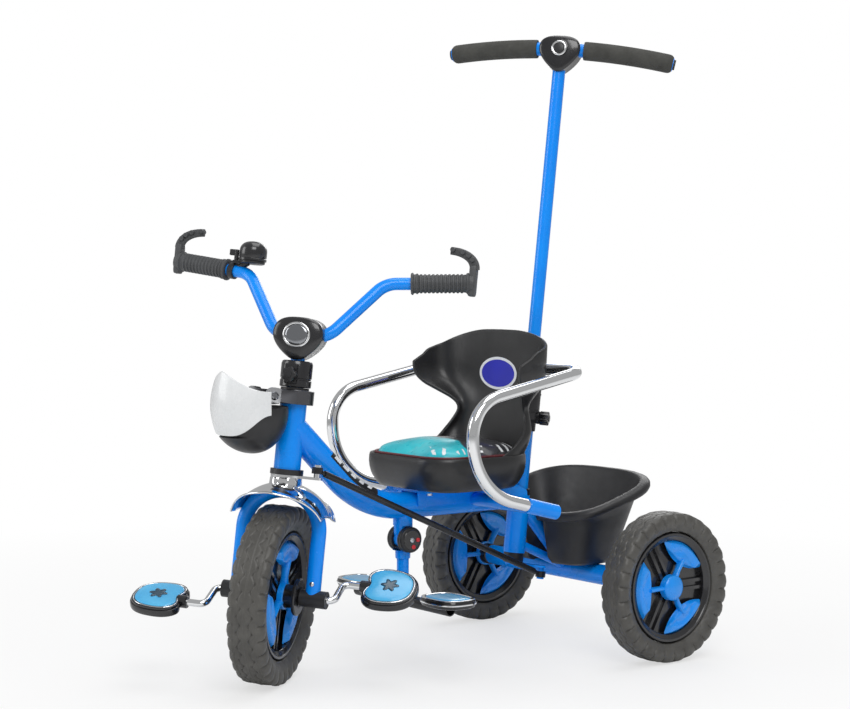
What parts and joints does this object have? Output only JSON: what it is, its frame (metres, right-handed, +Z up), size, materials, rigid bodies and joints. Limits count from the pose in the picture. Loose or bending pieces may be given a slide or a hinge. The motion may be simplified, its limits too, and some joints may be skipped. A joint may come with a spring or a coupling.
{
  "type": "tricycle",
  "caption": "Children's tricycle with a steering push handle, guard rail, bucket seat, basket, footrest and headlamp.",
  "frame": {"origin": "on the floor, under the middle of the whole tricycle's box", "axes": "+Z up; the tricycle faces -Y; the rider's left is +X"},
  "size_m": [0.4332, 0.7492, 0.8509],
  "materials": {
    "blue_paint": "gloss azure blue",
    "black_paint": "gloss black enamel",
    "blue_plastic": "gloss azure blue plastic",
    "black_plastic": "satin black",
    "charcoal_plastic": "satin charcoal",
    "chrome": "bright",
    "steel": "zinc plated",
    "foam_tyre": "matt foam",
    "foam_grip": "matt foam",
    "teal_pad": "soft light blue",
    "cushion_vinyl": "padded vinyl",
    "lamp_white": "frosted white"
  },
  "bodies": {
    "frame": {"head_tube": "blue_paint", "headset_bushes": "black_plastic", "main_tube": "blue_paint", "pole_column": "blue_paint", "column_bushes": "black_plastic", "frame_brace": "blue_paint", "axle_beam": "blue_paint", "rear_axle_bushes": "black_plastic", "rear_axle": "steel", "rail_sockets": "blue_paint", "guard_rail": "chrome", "seat_bracket": "blue_paint", "seat_screws": "steel", "seat_shell": "charcoal_plastic", "seat_cushion": "cushion_vinyl", "basket": "charcoal_plastic", "basket_screws": "steel", "lamp_bracket": "black_plastic", "lamp_bucket": "black_plastic", "lamp_lens": "lamp_white", "lamp_screws": "steel", "footrest_bracket": "blue_paint"},
    "steering": {"fork": "blue_paint", "axle_bushes": "black_plastic", "front_mudguard": "chrome", "steering_arm": "chrome", "handlebar": "blue_paint", "handlebar_grips": "foam_grip", "stem_cap": "black_plastic", "stem_badge": "chrome", "stem_clamp": "black_plastic", "bell_clamp": "black_plastic", "bell_dome": "black_plastic"},
    "stem_knob": {"stem_knob": "black_plastic"},
    "bell_lever": {"bell_lever": "black_plastic"},
    "front_wheel": {"front_tyre": "foam_tyre", "front_rim": "black_plastic", "front_spider": "blue_plastic", "crank_axle": "chrome"},
    "left_pedal": {"left_pedal": "black_plastic", "left_pedal_pad": "teal_pad"},
    "right_pedal": {"right_pedal": "black_plastic", "right_pedal_pad": "teal_pad"},
    "left_rear_wheel": {"left_rear_tyre": "foam_tyre", "left_rear_rim": "black_plastic", "left_rear_spider": "blue_plastic"},
    "right_rear_wheel": {"right_rear_tyre": "foam_tyre", "right_rear_rim": "black_plastic", "right_rear_spider": "blue_plastic"},
    "steering_rod": {"steering_rod": "black_paint"},
    "push_tube": {"pole_tube": "blue_paint", "pole_lock": "black_plastic"},
    "pole_knob": {"pole_knob": "black_plastic"},
    "push_handle": {"push_pole": "blue_paint", "handle_cap": "black_plastic", "handle_grips": "foam_grip"},
    "footrest": {"footrest_drum": "black_plastic", "footrest_post": "blue_paint", "footrest_pads": "black_plastic", "footrest_inserts": "teal_pad"}
  },
  "joints": [
    {"name": "steering_turn", "type": "hinge", "parent": "frame", "child": "steering", "pos_m": [0, -0.19434, 0.31183], "axis": [0, 0.1196, 0.9928], "range_deg": [-78.7, 1.3]},
    {"name": "front_wheel_spin", "type": "hinge", "parent": "steering", "child": "front_wheel", "pos_m": [0, -0.21826, 0.11327], "axis": [0.7804, 0.6208, -0.0748], "continuous": true},
    {"name": "left_pedal_spin", "type": "hinge", "parent": "front_wheel", "child": "left_pedal", "pos_m": [0.05684, -0.12604, 0.12138], "axis": [0.7804, 0.6208, -0.0748], "continuous": true},
    {"name": "right_pedal_spin", "type": "hinge", "parent": "front_wheel", "child": "right_pedal", "pos_m": [-0.05684, -0.31048, 0.10515], "axis": [0.7804, 0.6208, -0.0748], "continuous": true},
    {"name": "left_rear_wheel_spin", "type": "hinge", "parent": "frame", "child": "left_rear_wheel", "pos_m": [0.195, 0.27274, 0.1], "axis": [1, 0, 0], "continuous": true},
    {"name": "right_rear_wheel_spin", "type": "hinge", "parent": "frame", "child": "right_rear_wheel", "pos_m": [-0.195, 0.27274, 0.1], "axis": [1, 0, 0], "continuous": true},
    {"name": "steering_rod_swing", "type": "hinge", "parent": "steering", "child": "steering_rod", "pos_m": [0.03122, -0.17429, 0.26913], "axis": [0, 0.1196, 0.9928], "range_deg": [-1.3, 78.7]},
    {"name": "push_pole_turn", "type": "hinge", "parent": "frame", "child": "push_tube", "pos_m": [0, 0.17712, 0.16464], "axis": [0, 0.1196, 0.9928], "range_deg": [-78.7, 1.3]},
    {"name": "push_pole_height", "type": "slide", "parent": "push_tube", "child": "push_handle", "axis": [0, 0.1196, 0.9928], "range_m": [-0.15, 0.03]},
    {"name": "pole_knob_turn", "type": "hinge", "parent": "push_tube", "child": "pole_knob", "pos_m": [0.01561, 0.20814, 0.31753], "axis": [0.7804, 0.6208, -0.0748], "continuous": true},
    {"name": "stem_knob_turn", "type": "hinge", "parent": "steering", "child": "stem_knob", "pos_m": [0.01501, -0.20372, 0.39052], "axis": [0.6252, -0.7748, 0.0934], "continuous": true},
    {"name": "bell_lever_press", "type": "hinge", "parent": "steering", "child": "bell_lever", "pos_m": [-0.11656, -0.20221, 0.53437], "axis": [0, 0.1196, 0.9928], "range_deg": [0, 25], "stiffness_Nm_per_rad": 0.05},
    {"name": "footrest_fold", "type": "hinge", "parent": "frame", "child": "footrest", "pos_m": [0, -0.01826, 0.167], "axis": [1, 0, 0], "range_deg": [0, 60]}
  ],
  "couplings": [
    {"joint": "steering_rod_swing", "follows": "steering_turn", "ratio": -1},
    {"joint": "push_pole_turn", "follows": "steering_turn", "ratio": 1}
  ]
}
